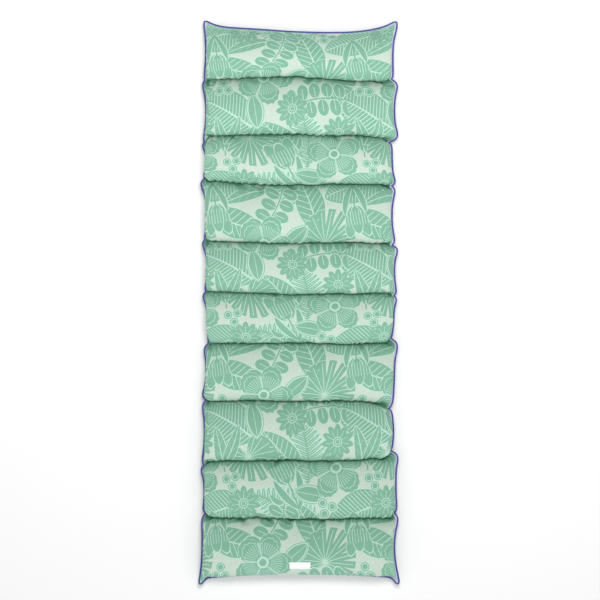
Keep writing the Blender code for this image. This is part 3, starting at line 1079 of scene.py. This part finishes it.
def tulip(x, y):
    """A closed flower of three petals on a stalk with two blades."""
    side = abs(x)
    lean = side - (y - 0.72) * 0.28
    outer = ellipse(lean - 0.115, y - 0.72, 0.115, 0.27)
    inner = ellipse(side, y - 0.70, 0.115, 0.25)
    fold = abs(inner) < 0.10
    vein = (side.to_nearest(0.055) < 0.006) & (abs(y - 0.66) < 0.13)
    stem = (side < 0.013) & (abs(y - 0.26) < 0.24)
    sweep = y * (0.62 - y * 0.45)
    blade = blade_half(y * 1.7, 0.7, 0.055) - abs(side - sweep)
    blade_on = abs(y - 0.295) < 0.29
    body = (outer | inner) > 0.0
    ink = (body & (1 - (fold | vein))) | stem | ((blade > 0.0) & blade_on)
    cover = ((outer | inner) > -0.18) | stem | ((blade > -0.02) & blade_on)
    return cover, ink


def berries(x, y):
    """Three small discs, each in a ring."""
    r = radius(x, y)
    off = (x.angle_from(y) * (3 / math.tau)).to_nearest(1.0) * (math.tau / 3)
    px = off.sine() * r
    py = (r * r - px * px).root() - 0.56
    d = radius(px, py)
    ink = (d < 0.25) | (abs(d - 0.38) < 0.045)
    return d < 0.52, ink


# How far below its middle each motif's own starting point lies
MOTIFS = {
    split_leaf: 0.35,
    plain_leaf: 0.5,
    hatched_leaf: 0.5,
    slender_leaf: 0.5,
    outline_leaf: 0.5,
    fern: 0.5,
    open_flower: 0.0,
    daisy: 0.0,
    round_sprig: 0.5,
    tulip: 0.5,
    berries: 0.0,
}

REPEAT = (0.46, 0.62)  # the print's repeat across and along the cloth, in metres

# One repeat of the print, from the lowest motif up
PRINT = (
    # motif, across, along, turned by degrees, size
    (hatched_leaf, 0.215, 0.280, 62, 0.230),
    (fern, 0.425, 0.575, 60, 0.250),
    (hatched_leaf, 0.190, 0.575, 112, 0.220),
    (fern, 0.015, 0.180, 8, 0.230),
    (plain_leaf, 0.030, 0.525, 22, 0.190),
    (plain_leaf, 0.265, 0.455, -105, 0.180),
    (plain_leaf, 0.405, 0.175, 40, 0.180),
    (split_leaf, 0.320, 0.130, 205, 0.118),
    (split_leaf, 0.110, 0.425, -35, 0.118),
    (slender_leaf, 0.205, 0.185, 12, 0.160),
    (slender_leaf, 0.245, 0.200, -20, 0.140),
    (slender_leaf, 0.295, 0.540, 110, 0.160),
    (round_sprig, 0.070, 0.300, 100, 0.200),
    (round_sprig, 0.375, 0.520, -25, 0.190),
    (tulip, 0.425, 0.060, 25, 0.190),
    (tulip, 0.190, 0.500, 190, 0.170),
    (outline_leaf, 0.040, 0.020, 80, 0.115),
    (outline_leaf, 0.320, 0.280, 10, 0.115),
    (outline_leaf, 0.450, 0.415, 130, 0.110),
    (open_flower, 0.120, 0.100, 10, 0.094),
    (open_flower, 0.350, 0.390, 50, 0.092),
    (daisy, 0.130, 0.215, 0, 0.052),
    (daisy, 0.440, 0.285, 0, 0.052),
    (daisy, 0.285, 0.610, 0, 0.054),
    (berries, 0.215, 0.360, 0, 0.034),
    (berries, 0.090, 0.600, 40, 0.034),
    (berries, 0.245, 0.060, 70, 0.032),
)


def parts_of(tree, vector):
    """A vector's three numbers, as fields."""
    apart = add_node(tree, "ShaderNodeSeparateXYZ", {0: vector})
    return [Field(tree, part) for part in apart.outputs]


def motif_group(draw, below):
    """A node group that draws one motif: what it covers, and where it is inked."""
    tree = bpy.data.node_groups.new("motif_" + draw.__name__, "ShaderNodeTree")
    tree.interface.new_socket("place", in_out="INPUT", socket_type="NodeSocketVector")
    for name in ("cover", "ink"):
        tree.interface.new_socket(name, in_out="OUTPUT", socket_type="NodeSocketFloat")
    start = tree.nodes.new("NodeGroupInput")
    x, y, _ = parts_of(tree, start.outputs["place"])
    cover, ink = draw(x, y + below)
    add_node(tree, "NodeGroupOutput", {"cover": cover, "ink": ink})
    return tree


def layer_on(tree, below, cover, value):
    """A value where a motif covers the cloth, and what was there before elsewhere."""
    inputs = {"Factor": cover, "A": below, "B": value}
    return add_node(tree, "ShaderNodeMix", inputs, data_type="FLOAT").outputs["Result"]


def print_fields(tree, place):
    """What the print puts at each place of the cloth: its ink, and all that it covers."""
    groups = {draw: motif_group(draw, below) for draw, below in MOTIFS.items()}
    half_wide, half_long = REPEAT[0] / 2, REPEAT[1] / 2
    ink, covered = 0.0, 0.0
    for draw, across, along, turned, size in PRINT:
        far = (across + half_wide, along + half_long, 1)
        near = (across - half_wide, along - half_long, -1)
        inputs = {0: place, 1: far, 2: near}
        wrap = add_node(tree, "ShaderNodeVectorMath", inputs, operation="WRAP")
        inputs = {
            "Vector": wrap.outputs[0],
            "Location": (across, along, 0),
            "Rotation": (0, 0, math.radians(turned)),
            "Scale": (size, size, 1),
        }
        local = add_node(tree, "ShaderNodeMapping", inputs, vector_type="TEXTURE")
        inputs = {"place": local.outputs[0]}
        motif = add_node(tree, "ShaderNodeGroup", inputs, node_tree=groups[draw])
        cover = motif.outputs["cover"]
        ink = layer_on(tree, ink, cover, motif.outputs["ink"])
        covered = layer_on(tree, covered, cover, 1.0)
    return Field(tree, ink), Field(tree, covered)


def new_material(name):
    material = bpy.data.materials.new(name)
    material.use_nodes = True
    tree = material.node_tree
    return material, tree, tree.nodes["Principled BSDF"]


def mix_colour(tree, share, first, second):
    """A colour between two, each a colour or a socket, by a Field or number."""
    first, second = (
        colour if isinstance(colour, bpy.types.NodeSocket) else (*colour, 1.0)
        for colour in (first, second)
    )
    inputs = {"Factor": share, 6: first, 7: second}
    return add_node(tree, "ShaderNodeMix", inputs, data_type="RGBA").outputs[2]


def noise_field(tree, vector, scale, detail=2.0):
    """Soft noise of so many lumps a metre, about 0.5 on average."""
    inputs = {"Vector": vector, "Scale": scale, "Detail": detail}
    return Field(tree, add_node(tree, "ShaderNodeTexNoise", inputs).outputs["Fac"])


def bump(tree, height, distance, strength):
    """The normal of a surface with so much relief."""
    inputs = {"Height": height, "Distance": distance, "Strength": strength}
    return add_node(tree, "ShaderNodeBump", inputs).outputs["Normal"]


def object_place(tree):
    return tree.nodes.new("ShaderNodeTexCoord").outputs["Object"]


def point_values(tree, name):
    """The three numbers that a mesh keeps for each point, as one vector."""
    return add_node(tree, "ShaderNodeAttribute", {}, attribute_name=name).outputs["Vector"]


GROUND = (0.610, 0.720, 0.625)  # the print's open ground
MINT = (0.530, 0.760, 0.640)  # its lines inside the motifs
INK = (0.182, 0.435, 0.302)  # its green
SPECK = (0.30, 0.40, 0.33)
GRAIN = (0.20, 0.36, 0.27)  # the darker yarn that shows between the pale
FURROW_SHADE_COLOUR = (0.002, 0.115, 0.045)  # painted shade: the deep green that the cloth is darkened to down in the furrows
LIP_LILAC = (0.66, 0.69, 0.90)
THREADS_A_METRE = 1100
FURROW_PAST = 62 * MM  # how far the furrow's painted shade reaches past a seam, and before it
FURROW_BEFORE = 20 * MM
# how strongly the furrow's shade is painted into the colour
FURROW_DEPTH = 0.96
LILAC_FROM = 0.285  # how far across the lip turns pale, in metres
LILAC_RISE = 40  # how fast it does, as a share for each metre


def uneven(tree, share, colour, darkest, palest):
    """A colour that drifts between a darker and a paler one."""
    ends = [[part * factor for part in colour] for factor in (darkest, palest)]
    return mix_colour(tree, share, *ends)


def painted_furrow_shade(down):
    """From 0 to 1, how much shade is painted on the cloth for lying deep in a furrow, by its place
    down the sheet.
    """
    share = (down / CHANNEL_CLOTH).fraction()
    past = (1 - share * (CHANNEL_CLOTH / FURROW_PAST)).floor_at(0.0)
    before = (1 - (1 - share) * (CHANNEL_CLOTH / FURROW_BEFORE)).floor_at(0.0)
    inner = abs(down - COUNT * CHANNEL_CLOTH / 2) < (COUNT - 1) * CHANNEL_CLOTH / 2
    return ((past ** 2.4) | (before ** 1.3)) * inner


def lilac_share(across, down, lip):
    """From 0 to 1, how much of the edging's thread lies over the lip: all down the right
    side, and beside the first channel on the left."""
    right = ((across - LILAC_FROM) * LILAC_RISE).floor_at(0.0).top_at(1.0)
    left = ((0 - across - LILAC_FROM) * LILAC_RISE).floor_at(0.0).top_at(0.6)
    beside = right | (left * (down < CHANNEL_CLOTH))
    return ((lip - 0.08) * 2.4).floor_at(0.0).top_at(1.0) * beside


def cover_material():
    """Plain-woven canvas with a three-tone print. Its lip is pale where the edging's
    thread lies over it, and shade is painted into its colour down in the furrows."""
    material, tree, shader = new_material("cover_cloth")
    place = point_values(tree, "fabric")
    u, v, lip = parts_of(tree, place)
    across, down, _ = parts_of(tree, point_values(tree, "sewn"))

    ink, covered = print_fields(tree, place)
    blotch = noise_field(tree, place, 9.0)
    wash = noise_field(tree, place, 38.0)
    fibre = noise_field(tree, place, 900.0)
    grain = noise_field(tree, place, 240.0, 4.0)
    inputs = {0: place, 1: (1.0, 14.0, 1.0)}
    drawn_out = add_node(tree, "ShaderNodeVectorMath", inputs, operation="MULTIPLY")
    slub = noise_field(tree, drawn_out.outputs[0], 160.0)
    warp, weft = ((yarn * (math.pi * THREADS_A_METRE)).sine() for yarn in (u, v))
    weave = abs(warp) * abs(weft)

    ground = uneven(tree, blotch, GROUND, 0.95, 1.03)
    mint = uneven(tree, blotch, MINT, 0.95, 1.04)
    green = uneven(tree, blotch * 0.6 + wash * 0.4, INK, 0.88, 1.12)
    thin = (fibre * 0.34 + weave * 0.12 + (slub - 0.5).floor_at(0.0) * 0.9).top_at(1.0)
    worn = mix_colour(tree, thin * 0.38, green, mint)
    printed = mix_colour(tree, ink, mix_colour(tree, covered, ground, mint), worn)
    specked = mix_colour(tree, fibre * 0.14, printed, SPECK)
    grained = mix_colour(tree, (grain - 0.43).floor_at(0.0) * 1.25, specked, GRAIN)
    # painted shade: the colour is darkened towards deep green down in the furrows, beside each seam
    shaded = mix_colour(tree, painted_furrow_shade(down) * FURROW_DEPTH, grained, FURROW_SHADE_COLOUR)
    relief = weave * 0.7 + fibre * 0.6 + slub * 0.5
    feed(tree, shader, {
        "Base Color": mix_colour(tree, lilac_share(across, down, lip), shaded, LIP_LILAC),
        "Roughness": 0.80 + fibre * 0.16,
        "Specular IOR Level": 0.15,
        "Sheen Weight": 0.06,
        "Sheen Roughness": 0.5,
        "Normal": bump(tree, relief, 0.35 * MM, 0.55),
    })
    return material


# Each thread's colour, its lighter one, and its sheen
THREADS = {
    "edging_violet": ((0.080, 0.070, 0.340), (0.15, 0.14, 0.52), 0.15),
    "edging_core_violet": ((0.060, 0.052, 0.260), (0.10, 0.09, 0.36), 0.1),
    "edging_lilac": ((0.55, 0.55, 0.74), (0.70, 0.70, 0.86), 0.2),
    "seam_green": ((0.06, 0.26, 0.14), (0.12, 0.36, 0.22), 0.1),
    "label_white": ((0.80, 0.81, 0.80), (0.88, 0.89, 0.88), 0.15),
}


def thread_material(name, colour, light, sheen):
    """Twisted sewing thread of one colour, a little uneven."""
    material, tree, shader = new_material(name)
    tint = noise_field(tree, object_place(tree), 60.0)
    fine = noise_field(tree, object_place(tree), 1800.0)
    feed(tree, shader, {
        "Base Color": mix_colour(tree, (tint - 0.35).floor_at(0.0) * 1.6, colour, light),
        "Roughness": 0.50 + fine * 0.25,
        "Specular IOR Level": 0.35,
        "Sheen Weight": sheen,
        "Normal": bump(tree, fine, 0.2 * MM, 0.4),
    })
    return material


def label_material():
    """Bare white woven ribbon."""
    material, tree, shader = new_material("label_ribbon")
    x, y, _ = parts_of(tree, object_place(tree))
    ribs = abs((y * (math.pi / (0.6 * MM))).sine())
    ends = abs((x * (math.pi / (0.5 * MM))).sine())
    fibre = noise_field(tree, object_place(tree), 1500.0)
    feed(tree, shader, {
        "Base Color": mix_colour(tree, fibre, (0.84, 0.86, 0.84), (0.95, 0.96, 0.95)),
        "Roughness": 0.55 + fibre * 0.2,
        "Sheen Weight": 0.2,
        "Normal": bump(tree, ribs * 0.6 + ends * 0.3 + fibre * 0.3, 0.2 * MM, 0.5),
    })
    return material


def floor_material():
    """Matt and pale, hardly uneven."""
    material, tree, shader = new_material("pale_floor")
    soft = noise_field(tree, object_place(tree), 1.5)
    feed(tree, shader, {
        "Base Color": mix_colour(tree, soft, (0.93, 0.93, 0.93), (0.95, 0.95, 0.95)),
        "Roughness": 0.9,
        "Specular IOR Level": 0.1,
    })
    return material


IMAGE_PIXELS = 600
PIXEL = 3.3 * MM
PHOTO_MIDDLE = (299.0, 302.75)  # the pixel over the cushion's middle
CAMERA_HEIGHT = 9.0
SENSOR = 36.0


def build_camera():
    """A long lens straight above, with the cushion's head at the top of the frame."""
    data = bpy.data.cameras.new("camera")
    data.sensor_width = SENSOR
    data.lens = SENSOR * (CAMERA_HEIGHT - CROWN / 2) / (IMAGE_PIXELS * PIXEL)
    camera = bpy.data.objects.new("camera", data)
    right = (IMAGE_PIXELS / 2 - PHOTO_MIDDLE[0]) * PIXEL
    up = (PHOTO_MIDDLE[1] - IMAGE_PIXELS / 2) * PIXEL
    camera.location = (right, up, CAMERA_HEIGHT)
    bpy.context.scene.collection.objects.link(camera)
    bpy.context.scene.camera = camera


KEY = {"place": (0.25, 1.3, 3.6), "target": (0, 0.5, 0), "size": 2.0, "power": 84}
FLOOR_REACH = 12.0  # from the middle, in metres
FLOOR_HEIGHT = -0.3 * MM
WORLD_STRENGTH = 0.68
WORLD_LEAN = 1.0  # how much brighter the light is from the foot's side than from above


def build_light(place, target, size, power):
    """The key: a round soft light over the cushion's head."""
    data = bpy.data.lights.new("key", "AREA")
    data.shape = "DISK"
    data.size = size
    data.energy = power
    light = bpy.data.objects.new("key", data)
    light.location = place
    light.rotation_euler = (Vector(target) - Vector(place)).to_track_quat("-Z", "Y").to_euler()
    bpy.context.scene.collection.objects.link(light)


def build_world():
    """White light from all round, stronger from the foot's side."""
    world = bpy.data.worlds.new("studio")
    world.use_nodes = True
    tree = world.node_tree
    aim = tree.nodes.new("ShaderNodeTexCoord").outputs["Generated"]
    towards_foot = 0 - parts_of(tree, aim)[1]
    strength = (towards_foot * WORLD_LEAN + 1).floor_at(0.0) * WORLD_STRENGTH
    feed(tree, tree.nodes["Background"], {"Color": (1.0, 1.0, 1.0, 1.0), "Strength": strength})
    bpy.context.scene.world = world
    bpy.context.scene.view_settings.view_transform = "Standard"


def build_floor():
    mesh = bpy.data.meshes.new("floor")
    signs = ((-1, -1), (1, -1), (1, 1), (-1, 1))
    corners = [(x * FLOOR_REACH, y * FLOOR_REACH, FLOOR_HEIGHT) for x, y in signs]
    mesh.from_pydata(corners, [], [(0, 1, 2, 3)])
    mesh.materials.append(floor_material())
    floor = bpy.data.objects.new("floor", mesh)
    bpy.context.scene.collection.objects.link(floor)


def main():
    cover = Cover()
    cover_piece = build_cover(cover, cover_material())
    threads = [thread_material(name, *look) for name, look in THREADS.items()]
    violet, core, lilac, green, white = threads
    build_edging(cover, core, violet)
    build_legs(cover, lilac)
    build_seam_stitches(cover, green)
    tree = BVHTree.FromObject(cover_piece, bpy.context.evaluated_depsgraph_get())
    build_label(tree, label_material(), white)
    build_floor()
    build_world()
    build_light(**KEY)
    build_camera()


main()
